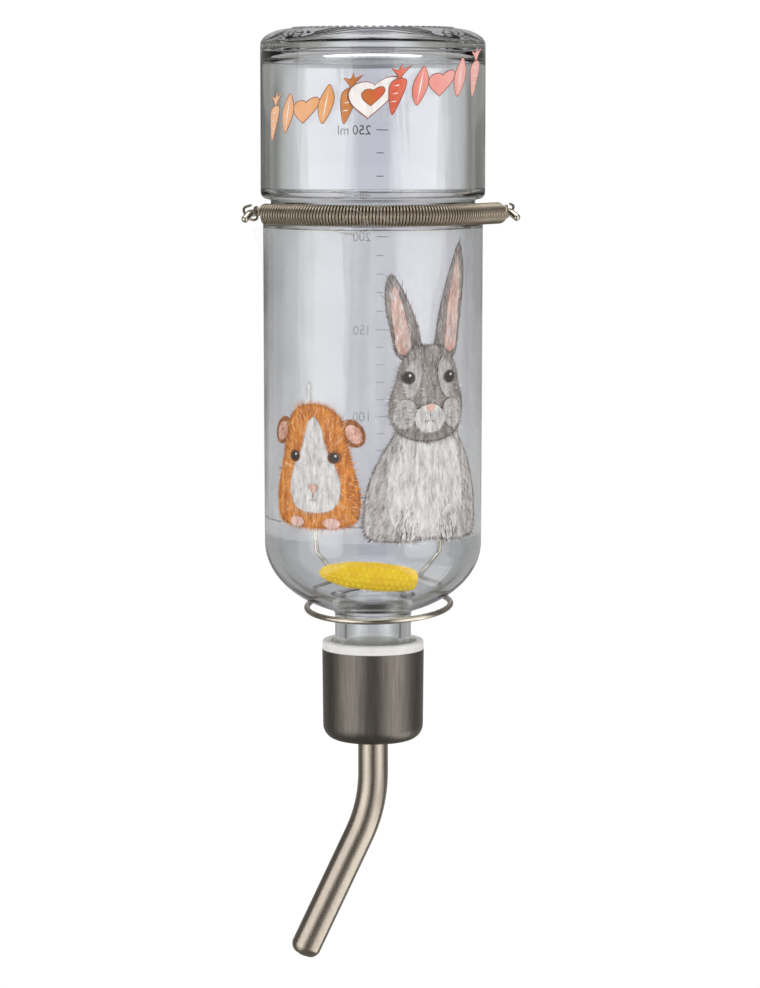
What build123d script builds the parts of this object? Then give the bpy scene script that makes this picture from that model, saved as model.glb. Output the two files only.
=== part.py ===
from build123d import *
import math
import os

# Glass drinker for rabbits and guinea pigs. The bottle hangs neck down in a wire bracket,
# and a yoke with a coil spring grips the groove round the bottle.
# Millimetres, +Z up, the front towards -Y, the cage wall behind towards +Y.
# The origin is the middle of the line between the two seats of the bracket's cage hooks.
# A "drop" is a distance below the plane that the ribs of the upturned base lie in.

# --- glass bottle -------------------------------------------------------------------
UPPER_R = 29.2
LOWER_R_TOP = 28.6
LOWER_R_BOTTOM = 28.4
UPPER_WALL = 2.4
LOWER_WALL = 2.2
HEEL_WIDTH = 8.5
HEEL_DEPTH = 4.2
BEARING_IN_R = 18.4
BEARING_EDGE_R = 1.2
PUSH_UP_DROP = 4.4
INNER_HEEL_WIDTH = 6.5
INNER_HEEL_DEPTH = 4.4
INNER_BASE_DROP = 9.3
INNER_HEEL_DROP = 5.6
UPPER_LIP_R = 1.9
LOWER_LIP_R = 1.3
INNER_LIP_R = 3.0
GROOVE_CORNER_R = 0.6
INNER_GROOVE_CORNER_R = 1.2
INNER_GROOVE_INSET = 1.0
GROOVE_TOP_DROP = 44.3
GROOVE_BOTTOM_DROP = 49.2
GROOVE_FLOOR_R = 26.6
SHOULDER_DROP = 133.9
SHOULDER_DEPTH = 19.5
SHOULDER_INNER_DEPTH = 17.0
NECK_R = 10.0
NECK_BORE_R = 7.0
NECK_END_DROP = 180.3
NECK_ROOT_R = 2.0
NECK_INNER_ROOT_R = 3.0
MOUTH_EDGE_R = 0.8
RIB_COUNT = 66
RIB_WIDTH = 1.0
RIB_HEIGHT = 0.35
RIB_SINK = 0.65

# --- screw thread of the neck and the cap --------------------------------------------
THREAD_PITCH = 3.0
THREAD_TURNS = 2.2
THREAD_DEPTH = 0.95
THREAD_ROOT_WIDTH = 1.5
THREAD_CREST_WIDTH = 0.7
THREAD_SINK = 0.3
THREAD_START_DROP = 177.4
THREAD_GAP = 0.3

# --- label film ----------------------------------------------------------------------
FILM_TOP_DROP = 51.6
FILM_BOTTOM_DROP = 131.2
FILM_GAP = 0.04
FILM_THICKNESS = 0.13
FILM_SEAM_ANGLE = 186.0
FILM_SPAN = 357.0

# --- cap -----------------------------------------------------------------------------
INSERT_TOP_DROP = 160.0
INSERT_BOTTOM_DROP = 185.9
INSERT_BAND_R = 13.35
INSERT_TOP_R = 12.8
INSERT_BOTTOM_R = 12.6
INSERT_BORE_R = NECK_R + THREAD_DEPTH + THREAD_GAP
INSERT_EDGE_R = 0.6
SHELL_TOP_DROP = 162.4
SHELL_BOTTOM_DROP = 186.5
SHELL_TOP_R = 13.4
SHELL_BOTTOM_R = 13.15
SHELL_WALL = 0.5
SHELL_CORNER_R = 4.0
SHELL_HOLE_R = 4.15
CAP_HOLE_R = 4.05
WASHER_THICKNESS = 2.0
WASHER_R = 10.9
WASHER_HOLE_R = 3.5
WASHER_EDGE_R = 0.3
SEAL_R = 6.0
SEAL_THICKNESS = 1.3
SEAL_GAP = 0.05
SEAL_EDGE_R = 0.4
STACK_GAP = 0.1

# --- drinking tube and its balls ------------------------------------------------------
TUBE_R = 3.95
TUBE_BORE_R = 3.35
FLANGE_R = 6.6
FLANGE_THICKNESS = 1.0
FLANGE_EDGE_R = 0.3
BEND_RADIUS = 40.0
BEND_ANGLE = 25.0
BEND_CORNER_DROP = 204.4
LOWER_LENGTH = 44.2
LIP_LENGTH = 2.6
LIP_INNER_LENGTH = 1.9
LIP_HOLE_R = 2.7
LIP_BOW = 0.4
LIP_INNER_BOW = 0.2
BALL_R = 3.25
BALL_GAP = 0.06

# --- level float, shaped like a corn cob -----------------------------------------------
FLOAT_LENGTH = 26.2
FLOAT_TIP_LENGTH = 1.2
FLOAT_TIP_R = 1.9
FLOAT_TIP_BOW = 0.39
FLOAT_BODY = [(-4.5, 4.0), (2.0, 4.45)]
FLOAT_END_LENGTH = 1.3
FLOAT_END_R = 3.2
FLOAT_END_FLAT_R = 1.7
FLOAT_END_BOW = 0.33
FLOAT_PLACE = (-1.2, -0.5, -144.0)
FLOAT_TILT = 5.8

# --- spring and yoke --------------------------------------------------------------------
SPRING_DROP = 47.7
SPRING_AXIS_R = 30.9
SPRING_COIL_R = 2.45
SPRING_WIRE = 0.66
SPRING_PITCH = 0.8
SPRING_HALF_ANGLE = 46.0
SPRING_STRAIGHT = 12.0
POINTS_PER_TURN = 10
CURVE_PARTS = 10
LOOP_REACH = 4.4
LOOP_R = 1.9
LOOP_LEAN = 35.0
LOOP_LEAD = 1.2
LOOP_LEAD_BEND_R = 1.0
LOOP_ENTRY_BEND_R = 0.8
LOOP_TAIL_RISE = 0.9
LOOP_TAIL_RUN = 1.2
YOKE_WIRE = 1.9
YOKE_DROP = 47.5
YOKE_ARC_R = 27.9
YOKE_ARC_START = 12.5
YOKE_BEND_R = 1.8
YOKE_HOOK_HALF_WIDTH = 4.0
YOKE_HOOK_Y = 36.4
YOKE_HOOK_DROP = 55.5
YOKE_PAST_EYE = 1.3
YOKE_TIP = 2.4
YOKE_TIP_FALL = 0.7
YOKE_TIP_BEND_R = 1.3
YOKE_TURN = 11.0

# --- hanging bracket ----------------------------------------------------------------------
BRACKET_WIRE = 1.5
RING_R = 18.9
RING_DROP = 150.9
RING_TILT = 5.0
RING_ROLL = 1.8
RING_END_ANGLE = 118.0
FOOT_RUN = 11.0
FOOT_BEND_R = 4.0
LEG_FOOT = (18.0, 26.4, -141.0)
LEG_TOP_X = 20.6
LEG_Y = 26.0
HOOK_BEND_R = 4.0
HOOK_TOP_DROP = 95.5
HOOK_LENGTH = 9.0

# The bottle stands this far to one side of the bracket's middle, within its slack.
BOTTLE_X = -1.5
# The bracket's hook seats, from the middle of the bottle's base.
SEAT_Y = LEG_Y + HOOK_BEND_R
SEAT_DROP = HOOK_TOP_DROP + BRACKET_WIRE / 2


def at(radius, drop):
    """A point of a turned profile."""
    return (radius, -drop)


def turned(outline, corners=(), start=0, span=360):
    """Revolve a closed profile about Z, after rounding its named corners."""
    face = make_face(outline)
    for place, radius in corners:
        vertex = face.vertices().sort_by_distance(Vector(*place))[0]
        face = fillet(vertex, radius)
    return Rot(0, 0, start) * revolve(Plane.XZ * face, Axis.Z, span)


def dish(centre_drop, rim_r, rim_drop):
    """An arc from the axis to a rim, level at the axis."""
    rise = centre_drop - rim_drop
    sphere_r = (rim_r**2 + rise**2) / (2 * rise)
    mid_drop = centre_drop - sphere_r + math.sqrt(sphere_r**2 - rim_r**2 / 4)
    return ThreePointArc(at(0, centre_drop), at(rim_r / 2, mid_drop), at(rim_r, rim_drop))


def heel(outer_r, top_drop, width, depth):
    """The quarter ellipse between the side wall and the base."""
    return EllipticalCenterArc(at(outer_r - width, top_drop + depth), width, depth, 0, arc_size=90)


def bowed(start, end, bow):
    """An arc whose middle stands off its chord, to the left of its way."""
    chord = Vector(*end) - Vector(*start)
    middle = Vector(*start) + chord / 2 + Vector(-chord.Y, chord.X) * (bow / chord.length)
    return ThreePointArc(start, middle, end)


def shoulder(side_r, depth, neck_r):
    """A quarter ellipse from the side wall, cut off where it reaches the neck."""
    sweep_angle = math.degrees(math.acos(neck_r / side_r))
    return EllipticalCenterArc(at(0, SHOULDER_DROP), side_r, depth, -sweep_angle, arc_size=sweep_angle)


def shoulder_end(side_r, depth, neck_r):
    """The drop at which the shoulder reaches the neck."""
    return SHOULDER_DROP + depth * math.sqrt(1 - (neck_r / side_r) ** 2)


def bent_path(stations):
    """Straight runs through the stations, with each corner bent to its own radius."""
    points = [Vector(*place) for place, radius in stations]
    radii = [radius for place, radius in stations]
    edges = []
    start = points[0]
    for before, corner, after, radius in zip(points, points[1:], points[2:], radii[1:]):
        way_in = (corner - before).normalized()
        way_out = (after - corner).normalized()
        half_turn = math.radians(way_in.get_angle(way_out)) / 2
        trim = radius * math.tan(half_turn)
        cut = radius / math.cos(half_turn) - radius
        bend_start = corner - way_in * trim
        bend_end = corner + way_out * trim
        middle = corner + (way_out - way_in).normalized() * cut
        if (bend_start - start).length > 0.01:
            edges.append(Line(start, bend_start))
        edges.append(ThreePointArc(bend_start, middle, bend_end))
        start = bend_end
    edges.append(Line(start, points[-1]))
    return Wire(edges)


def bent_wire(stations, wire):
    """A round wire with rounded ends along a bent path."""
    path = bent_path(stations)
    section = Plane(origin=path @ 0, z_dir=path % 0) * Circle(wire / 2)
    ends = [Pos(*(path @ t)) * Sphere(wire / 2) for t in (0, 1)]
    return sweep(section, path=path) + ends


def thread(root_r, depth, start_drop):
    """A helical ridge. With a negative depth it stands inwards from a bore."""
    helix = Helix(THREAD_PITCH, THREAD_PITCH * THREAD_TURNS, root_r, center=(0, 0, -start_drop))
    flank = (THREAD_ROOT_WIDTH - THREAD_CREST_WIDTH) / 2 / THREAD_DEPTH
    half_foot = THREAD_ROOT_WIDTH / 2 + flank * THREAD_SINK
    half_crest = THREAD_CREST_WIDTH / 2
    foot = math.copysign(THREAD_SINK, -depth)
    outline = Polyline(
        (foot, -half_foot), (depth, -half_crest), (depth, half_crest), (foot, half_foot), close=True
    )
    section = Plane(origin=helix @ 0, x_dir=(1, 0, 0), z_dir=helix % 0) * make_face(outline)
    return sweep(section, path=helix, is_frenet=True)


def make_glass_bottle():
    bearing_out_r = UPPER_R - HEEL_WIDTH
    inner_upper_r = UPPER_R - UPPER_WALL
    inner_lower_r = LOWER_R_BOTTOM - LOWER_WALL
    inner_groove_r = GROOVE_FLOOR_R - LOWER_WALL
    outer_neck_drop = shoulder_end(LOWER_R_BOTTOM, SHOULDER_DEPTH, NECK_R)
    inner_neck_drop = shoulder_end(inner_lower_r, SHOULDER_INNER_DEPTH, NECK_BORE_R)
    outer_groove = [
        at(GROOVE_FLOOR_R, GROOVE_TOP_DROP), at(GROOVE_FLOOR_R, GROOVE_BOTTOM_DROP),
    ]
    lips = [at(UPPER_R, GROOVE_TOP_DROP), at(LOWER_R_TOP, GROOVE_BOTTOM_DROP)]
    inner_groove = [
        at(inner_groove_r, GROOVE_BOTTOM_DROP - INNER_GROOVE_INSET),
        at(inner_groove_r, GROOVE_TOP_DROP + INNER_GROOVE_INSET),
    ]
    inner_lips = [
        at(inner_lower_r, GROOVE_BOTTOM_DROP + LOWER_WALL),
        at(inner_upper_r, GROOVE_TOP_DROP - LOWER_WALL),
    ]
    mouth = [at(NECK_R, NECK_END_DROP), at(NECK_BORE_R, NECK_END_DROP)]
    neck_roots = [at(NECK_R, outer_neck_drop), at(NECK_BORE_R, inner_neck_drop)]
    outline = [
        dish(PUSH_UP_DROP, BEARING_IN_R, RIB_HEIGHT),
        Line(at(BEARING_IN_R, RIB_HEIGHT), at(bearing_out_r, RIB_HEIGHT)),
        heel(UPPER_R, RIB_HEIGHT, HEEL_WIDTH, HEEL_DEPTH),
        Polyline(
            at(UPPER_R, RIB_HEIGHT + HEEL_DEPTH), lips[0], *outer_groove, lips[1],
            at(LOWER_R_BOTTOM, SHOULDER_DROP),
        ),
        shoulder(LOWER_R_BOTTOM, SHOULDER_DEPTH, NECK_R),
        Polyline(neck_roots[0], *mouth, neck_roots[1]),
        shoulder(inner_lower_r, SHOULDER_INNER_DEPTH, NECK_BORE_R),
        Polyline(
            at(inner_lower_r, SHOULDER_DROP), inner_lips[0], *inner_groove, inner_lips[1],
            at(inner_upper_r, INNER_HEEL_DROP + INNER_HEEL_DEPTH),
        ),
        heel(inner_upper_r, INNER_HEEL_DROP, INNER_HEEL_WIDTH, INNER_HEEL_DEPTH),
        dish(INNER_BASE_DROP, inner_upper_r - INNER_HEEL_WIDTH, INNER_HEEL_DROP),
        Line(at(0, INNER_BASE_DROP), at(0, PUSH_UP_DROP)),
    ]
    corners = [
        (at(BEARING_IN_R, RIB_HEIGHT), BEARING_EDGE_R),
        (lips[0], UPPER_LIP_R),
        (lips[1], LOWER_LIP_R),
        (neck_roots[0], NECK_ROOT_R),
        (neck_roots[1], NECK_INNER_ROOT_R),
    ]
    corners += [(place, GROOVE_CORNER_R) for place in outer_groove]
    corners += [(place, INNER_GROOVE_CORNER_R) for place in inner_groove]
    corners += [(place, INNER_LIP_R) for place in inner_lips]
    corners += [(place, MOUTH_EDGE_R) for place in mouth]
    body = turned(outline, corners)
    rib_in_r = BEARING_IN_R + BEARING_EDGE_R
    rib_height = RIB_HEIGHT + RIB_SINK
    rib = Pos((rib_in_r + bearing_out_r) / 2, 0, -rib_height / 2) * Box(
        bearing_out_r - rib_in_r, RIB_WIDTH, rib_height
    )
    ribs = [Rot(0, 0, 360 / RIB_COUNT * i) * rib for i in range(RIB_COUNT)]
    return body + ribs + thread(NECK_R, THREAD_DEPTH, THREAD_START_DROP)


def make_label_film():
    inner_top_r = LOWER_R_TOP + FILM_GAP
    inner_bottom_r = LOWER_R_BOTTOM + FILM_GAP
    outline = Polyline(
        at(inner_top_r, FILM_TOP_DROP),
        at(inner_top_r + FILM_THICKNESS, FILM_TOP_DROP),
        at(inner_bottom_r + FILM_THICKNESS, FILM_BOTTOM_DROP),
        at(inner_bottom_r, FILM_BOTTOM_DROP),
        close=True,
    )
    return turned(outline, start=FILM_SEAM_ANGLE, span=FILM_SPAN)


def make_level_float():
    half = FLOAT_LENGTH / 2
    tip = (-half + FLOAT_TIP_LENGTH, FLOAT_TIP_R)
    end = (half - FLOAT_END_LENGTH, FLOAT_END_R)
    end_flat = (half, FLOAT_END_FLAT_R)
    outline = [
        bowed((-half, 0), tip, FLOAT_TIP_BOW),
        Spline(tip, *FLOAT_BODY, end),
        bowed(end, end_flat, FLOAT_END_BOW),
        Polyline(end_flat, (half, 0), (-half, 0)),
    ]
    cob = revolve(make_face(outline), Axis.X, 360)
    return Pos(*FLOAT_PLACE) * Rot(0, FLOAT_TILT, 0) * cob


def make_cap_shell():
    inner_floor_drop = SHELL_BOTTOM_DROP - SHELL_WALL
    outer_corner = at(SHELL_BOTTOM_R, SHELL_BOTTOM_DROP)
    inner_corner = at(SHELL_BOTTOM_R - SHELL_WALL, inner_floor_drop)
    outline = Polyline(
        at(SHELL_TOP_R - SHELL_WALL, SHELL_TOP_DROP), at(SHELL_TOP_R, SHELL_TOP_DROP),
        outer_corner, at(SHELL_HOLE_R, SHELL_BOTTOM_DROP),
        at(SHELL_HOLE_R, inner_floor_drop), inner_corner, close=True,
    )
    return turned(outline, [(outer_corner, SHELL_CORNER_R), (inner_corner, SHELL_CORNER_R - SHELL_WALL)])


def flange_top_drop():
    return NECK_END_DROP + WASHER_THICKNESS + 2 * STACK_GAP


def insert_floor_drop():
    return flange_top_drop() + FLANGE_THICKNESS


def make_cap_insert():
    floor_drop = insert_floor_drop()
    seal_bottom_drop = floor_drop + SEAL_THICKNESS + STACK_GAP
    band_edge = at(INSERT_BAND_R, INSERT_TOP_DROP)
    bore_edge = at(INSERT_BORE_R, INSERT_TOP_DROP)
    corner = at(INSERT_BOTTOM_R, INSERT_BOTTOM_DROP)
    outline = Polyline(
        bore_edge, band_edge,
        at(INSERT_BAND_R, SHELL_TOP_DROP), at(INSERT_TOP_R, SHELL_TOP_DROP),
        corner, at(CAP_HOLE_R, INSERT_BOTTOM_DROP), at(CAP_HOLE_R, seal_bottom_drop),
        at(SEAL_R + STACK_GAP, seal_bottom_drop), at(SEAL_R + STACK_GAP, floor_drop),
        at(INSERT_BORE_R, floor_drop), close=True,
    )
    corners = [
        (band_edge, INSERT_EDGE_R),
        (bore_edge, INSERT_EDGE_R),
        (corner, SHELL_CORNER_R - SHELL_WALL),
    ]
    ridge = thread(INSERT_BORE_R, -THREAD_DEPTH, THREAD_START_DROP + THREAD_PITCH / 2)
    return turned(outline, corners) + ridge


def make_ring(inner_r, outer_r, top_drop, thickness, edge_r):
    """A flat ring with rounded edges."""
    ring = Pos(0, 0, -top_drop - thickness) * extrude(Circle(outer_r) - Circle(inner_r), thickness)
    return fillet(ring.edges().filter_by(GeomType.CIRCLE), edge_r)


def make_sealing_washer():
    top_drop = NECK_END_DROP + STACK_GAP
    return make_ring(WASHER_HOLE_R, WASHER_R, top_drop, WASHER_THICKNESS, WASHER_EDGE_R)


def make_tube_seal():
    top_drop = insert_floor_drop() + SEAL_GAP
    return make_ring(TUBE_R + SEAL_GAP, SEAL_R, top_drop, SEAL_THICKNESS, SEAL_EDGE_R)


def tube_direction():
    """The way the lower end of the tube points."""
    lean = math.radians(BEND_ANGLE)
    return Vector(-math.sin(lean), 0, -math.cos(lean))


def lip_plane():
    """The place where the tube's rolled lip starts, facing its open end."""
    corner = Vector(0, 0, -BEND_CORNER_DROP)
    way = tube_direction()
    return Plane(origin=corner + way * (LOWER_LENGTH - LIP_LENGTH), z_dir=way)


def make_drinking_tube():
    top = (0, 0, -flange_top_drop())
    corner = (0, 0, -BEND_CORNER_DROP)
    path = bent_path([(top, 0), (corner, BEND_RADIUS), (tuple(lip_plane().origin), 0)])
    section = Pos(*top) * (Circle(TUBE_R) - Circle(TUBE_BORE_R))
    flange = Pos(0, 0, -insert_floor_drop()) * extrude(
        Circle(FLANGE_R) - Circle(TUBE_BORE_R), FLANGE_THICKNESS
    )
    rim = flange.edges().filter_by(GeomType.CIRCLE).sort_by(SortBy.RADIUS)[-2:]
    flange = fillet(rim, FLANGE_EDGE_R)
    outline = [
        Line((TUBE_BORE_R, 0), (TUBE_R, 0)),
        bowed((TUBE_R, 0), (LIP_HOLE_R, LIP_LENGTH), -LIP_BOW),
        Line((LIP_HOLE_R, LIP_LENGTH), (LIP_HOLE_R, LIP_INNER_LENGTH)),
        bowed((LIP_HOLE_R, LIP_INNER_LENGTH), (TUBE_BORE_R, 0), LIP_INNER_BOW),
    ]
    lip = lip_plane().location * revolve(Plane.XZ * make_face(outline), Axis.Z, 360)
    return sweep(section, path=path) + flange + lip


def make_ball(place_in_row):
    """A valve ball; the first one rests on the lip and the next one rests on it."""
    seat_depth = math.sqrt(BALL_R**2 - LIP_HOLE_R**2) - LIP_INNER_LENGTH + BALL_GAP
    depth = seat_depth + place_in_row * (2 * BALL_R + BALL_GAP)
    return lip_plane().location * Pos(0, 0, -depth) * Sphere(BALL_R)


def spring_axis(distance):
    """Point, way on and outward way of the spring's bent axis, from its middle."""
    half_arc = SPRING_AXIS_R * math.radians(SPRING_HALF_ANGLE)
    along_arc = max(-half_arc, min(half_arc, distance))
    angle = along_arc / SPRING_AXIS_R
    way = Vector(math.cos(angle), math.sin(angle), 0)
    outward = Vector(math.sin(angle), -math.cos(angle), 0)
    point = outward * SPRING_AXIS_R + way * (distance - along_arc) + Vector(0, 0, -SPRING_DROP)
    return point, way, outward


def spring_half_length():
    return SPRING_AXIS_R * math.radians(SPRING_HALF_ANGLE) + SPRING_STRAIGHT


def make_coil():
    turns = round(2 * spring_half_length() / SPRING_PITCH)
    points = []
    for i in range(turns * POINTS_PER_TURN + 1):
        travel = i / (turns * POINTS_PER_TURN)
        centre, way, outward = spring_axis(spring_half_length() * (2 * travel - 1))
        angle = 2 * math.pi * i / POINTS_PER_TURN
        across = outward * math.cos(angle) + Vector(0, 0, math.sin(angle))
        points.append(centre + across * SPRING_COIL_R)
    curve = Spline(*points)
    path = Wire([curve.trim(i / CURVE_PARTS, (i + 1) / CURVE_PARTS) for i in range(CURVE_PARTS)])
    section = Plane(origin=path @ 0, z_dir=path % 0) * Circle(SPRING_WIRE / 2)
    return sweep(section, path=path, is_frenet=True)


def make_end_loop(side):
    """The last turn of the spring bent out into a loop that leans outwards."""
    coil_end, way, outward = spring_axis(side * spring_half_length())
    out = way * side
    lean = math.radians(LOOP_LEAN)
    rise = outward * math.sin(lean) + Vector(0, 0, math.cos(lean))
    centre = coil_end + out * LOOP_REACH
    places = [
        (coil_end + outward * SPRING_COIL_R, 0),
        (coil_end + out * LOOP_LEAD + rise * SPRING_COIL_R, LOOP_LEAD_BEND_R),
        (centre - out * LOOP_R + rise * LOOP_R, LOOP_ENTRY_BEND_R),
        (centre - out * LOOP_R - rise * LOOP_R, LOOP_R),
        (centre + out * LOOP_R - rise * LOOP_R, LOOP_R),
        (centre + out * LOOP_R + rise * LOOP_R, LOOP_R),
        (centre - out * LOOP_TAIL_RUN + rise * (LOOP_R + LOOP_TAIL_RISE), 0),
    ]
    return bent_wire([(tuple(place), radius) for place, radius in places], SPRING_WIRE)


def make_front_spring():
    spring = make_coil() + make_end_loop(-1) + make_end_loop(1)
    return Rot(0, 0, YOKE_TURN) * spring


def make_groove_yoke():
    coil_end, way, outward = spring_axis(spring_half_length() + LOOP_REACH)
    eye_r = math.hypot(coil_end.X, coil_end.Y)
    eye_angle = math.degrees(math.atan2(coil_end.X, coil_end.Y))
    arc_end = eye_angle - math.degrees(math.acos(YOKE_ARC_R / eye_r))
    arc_middle = math.radians((YOKE_ARC_START + arc_end) / 2)
    corner_r = YOKE_ARC_R / math.cos(math.radians(arc_end - YOKE_ARC_START) / 2)
    arc_corner = (corner_r * math.sin(arc_middle), corner_r * math.cos(arc_middle))
    start = math.radians(YOKE_ARC_START)
    inlet_run = (YOKE_ARC_R * math.sin(start) - YOKE_HOOK_HALF_WIDTH) / math.cos(start)
    inlet_y = YOKE_ARC_R * math.cos(start) + inlet_run * math.sin(start)
    eye = Vector(coil_end.X, coil_end.Y, -YOKE_DROP)
    arm_way = (eye - Vector(*arc_corner, -YOKE_DROP)).normalized()
    tip_way = (outward + Vector(0, 0, -YOKE_TIP_FALL)).normalized()
    bend = eye + arm_way * YOKE_PAST_EYE
    tip = bend + tip_way * YOKE_TIP
    right = [
        (tuple(tip), 0),
        (tuple(bend), YOKE_TIP_BEND_R),
        ((*arc_corner, -YOKE_DROP), YOKE_ARC_R),
        ((YOKE_HOOK_HALF_WIDTH, inlet_y, -YOKE_DROP), YOKE_BEND_R),
        ((YOKE_HOOK_HALF_WIDTH, YOKE_HOOK_Y, -YOKE_DROP), YOKE_BEND_R),
        ((YOKE_HOOK_HALF_WIDTH, YOKE_HOOK_Y, -YOKE_HOOK_DROP), YOKE_HOOK_HALF_WIDTH),
    ]
    left = [((-x, y, z), radius) for (x, y, z), radius in reversed(right)]
    return Rot(0, 0, YOKE_TURN) * bent_wire(right + left, YOKE_WIRE)


def make_hanging_bracket():
    lean = Pos(0, 0, -RING_DROP) * Rot(RING_TILT, -RING_ROLL, 0)
    end = math.radians(RING_END_ANGLE)
    ring_corner_r = RING_R / math.cos(end / 4)
    foot_x = RING_R * math.sin(end) + FOOT_RUN * math.cos(end)
    foot_y = -RING_R * math.cos(end) + FOOT_RUN * math.sin(end)
    foot_x_leg, foot_y_leg, foot_z_leg = LEG_FOOT

    def ring_place(side, x, y):
        return tuple((lean * Pos(side * x, y, 0)).position)

    def half(side):
        ring = [
            ring_place(side, ring_corner_r * math.sin(angle), -ring_corner_r * math.cos(angle))
            for angle in (end / 4, end * 3 / 4)
        ]
        return [
            (ring[0], RING_R),
            (ring[1], RING_R),
            (ring_place(side, foot_x, foot_y), FOOT_BEND_R),
            ((side * foot_x_leg, foot_y_leg, foot_z_leg), FOOT_BEND_R),
            ((side * LEG_TOP_X, LEG_Y, -HOOK_TOP_DROP), HOOK_BEND_R),
            ((side * LEG_TOP_X, LEG_Y + 2 * HOOK_BEND_R, -HOOK_TOP_DROP), HOOK_BEND_R),
            ((side * LEG_TOP_X, LEG_Y + 2 * HOOK_BEND_R, -HOOK_TOP_DROP - HOOK_LENGTH), 0),
        ]

    return bent_wire(half(-1)[::-1] + half(1), BRACKET_WIRE)


def main():
    to_frame = Pos(0, -SEAT_Y, SEAT_DROP)
    on_bottle = to_frame * Pos(BOTTLE_X, 0, 0)
    bottle_nodes = {
        "glass_bottle": make_glass_bottle(),
        "label_film": make_label_film(),
        "level_float": make_level_float(),
        "cap_shell": make_cap_shell(),
        "cap_insert": make_cap_insert(),
        "sealing_washer": make_sealing_washer(),
        "tube_seal": make_tube_seal(),
        "drinking_tube": make_drinking_tube(),
        "lower_ball": make_ball(0),
        "upper_ball": make_ball(1),
        "front_spring": make_front_spring(),
        "groove_yoke": make_groove_yoke(),
    }
    os.makedirs("parts", exist_ok=True)
    for node, shape in bottle_nodes.items():
        export_step(on_bottle * shape, f"parts/{node}.step")
    export_step(to_frame * make_hanging_bracket(), "parts/hanging_bracket.step")


if __name__ == "__main__":
    main()
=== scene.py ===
import math
import random

import bmesh
import bpy
from mathutils import Euler, Matrix, Vector, geometry


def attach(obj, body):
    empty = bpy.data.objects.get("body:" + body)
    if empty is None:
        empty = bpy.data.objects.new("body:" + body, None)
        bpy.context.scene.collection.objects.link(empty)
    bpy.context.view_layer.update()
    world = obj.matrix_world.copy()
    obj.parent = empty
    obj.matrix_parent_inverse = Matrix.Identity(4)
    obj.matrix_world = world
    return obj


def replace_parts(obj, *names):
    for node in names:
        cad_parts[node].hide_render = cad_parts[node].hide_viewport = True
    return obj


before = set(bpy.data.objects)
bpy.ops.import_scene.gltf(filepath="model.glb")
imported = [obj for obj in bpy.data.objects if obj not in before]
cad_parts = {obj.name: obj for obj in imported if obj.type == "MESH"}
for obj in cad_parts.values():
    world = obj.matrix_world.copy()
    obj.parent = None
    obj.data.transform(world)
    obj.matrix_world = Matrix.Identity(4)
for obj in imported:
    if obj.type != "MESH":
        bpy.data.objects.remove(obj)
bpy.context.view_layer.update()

# Lengths in the shape code are millimetres. A drop is measured down from the plane of the
# upturned base, an angle is measured from the front, to the right positive.
MM = 0.001
AXIS_X, AXIS_Y, BASE_Z = -1.5, -30.0, 96.25

# the outside of the glass
UPPER_R, LOWER_R, LOWER_R_END = 29.2, 28.6, 28.4
PUSH_UP = ((0.02, 4.4), (4, 4.21), (8, 3.63), (12, 2.67), (15.5, 1.51))
BEARING_R, BEARING_EDGE_R = 18.4, 1.2
RIB_IN_R, RIB_OUT_R, RIB_HEIGHT = 19.7, 20.65, 0.35
RIBS, STEPS_PER_RIB, STEPS_ON_RIB = 66, 4, 2
HEEL_WIDTH, HEEL_DEPTH = 8.5, 4.2
GROOVE_R, GROOVE_TOP, GROOVE_BOTTOM = 26.6, 44.3, 49.2
UPPER_LIP_R, LOWER_LIP_R, GROOVE_CORNER_R = 1.9, 1.3, 0.6
SHOULDER_DROP, SHOULDER_DEPTH = 133.9, 19.5
NECK_R, MOUTH_DROP = 10.0, 180.3
NECK_FILLET_R, MOUTH_EDGE_R = 1.6, 0.8
THREAD_PITCH, THREAD_TURNS, THREAD_START = 3.0, 2.2, 177.4
THREAD_OUTLINE = ((9.7, -0.9), (10.95, -0.35), (10.95, 0.35), (9.7, 0.9))

# the inside of the glass
UPPER_IN_R, LOWER_IN_R, GROOVE_IN_R, BORE_R = 26.8, 26.2, 24.4, 7.0
INNER_HEEL_WIDTH, INNER_HEEL_DROP, INNER_HEEL_DEPTH = 6.5, 5.6, 4.4
INNER_DOME = ((15, 7.3), (10, 8.42), (5, 9.08), (0.02, 9.3))
INNER_GROOVE = (
    (LOWER_IN_R, 51.4, 3), (GROOVE_IN_R, 48.2, 1.2), (GROOVE_IN_R, 45.3, 1.2), (UPPER_IN_R, 42.1, 3),
)
INNER_SHOULDER_DEPTH = 17.0

# film and ink
FILM_TOP, FILM_BOTTOM = 51.6, 131.2
FILM_GAP, FILM_THICKNESS = 0.04, 0.13
INK_GAP, INK_THICKNESS = 0.03, 0.02


# ---------------------------------------------------------------- meshes

def at(x, y, drop):
    """A place from the middle of the bottle's base, in the scene's metres."""
    return Vector((AXIS_X + x, AXIS_Y + y, BASE_Z - drop)) * MM


def around(angle, radius, drop):
    """A place on a cylinder about the bottle's axis."""
    turn = math.radians(angle)
    return at(radius * math.sin(turn), -radius * math.cos(turn), drop)


def face_outwards(mesh):
    """Turns the faces of closed shells so that they all look outwards."""
    work = bmesh.new()
    work.from_mesh(mesh)
    bmesh.ops.recalc_face_normals(work, faces=work.faces)
    work.to_mesh(mesh)
    work.free()


def piece(name, places, faces, body, materials, face_materials=None, smooth=True):
    mesh = bpy.data.meshes.new(name)
    mesh.from_pydata([tuple(p) for p in places], [], faces)
    for material in materials:
        mesh.materials.append(material)
    for i, polygon in enumerate(mesh.polygons):
        polygon.use_smooth = smooth
        polygon.material_index = face_materials[i] if face_materials else 0
    face_outwards(mesh)
    obj = bpy.data.objects.new(name, mesh)
    bpy.context.collection.objects.link(obj)
    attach(obj, body)
    return obj


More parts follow.
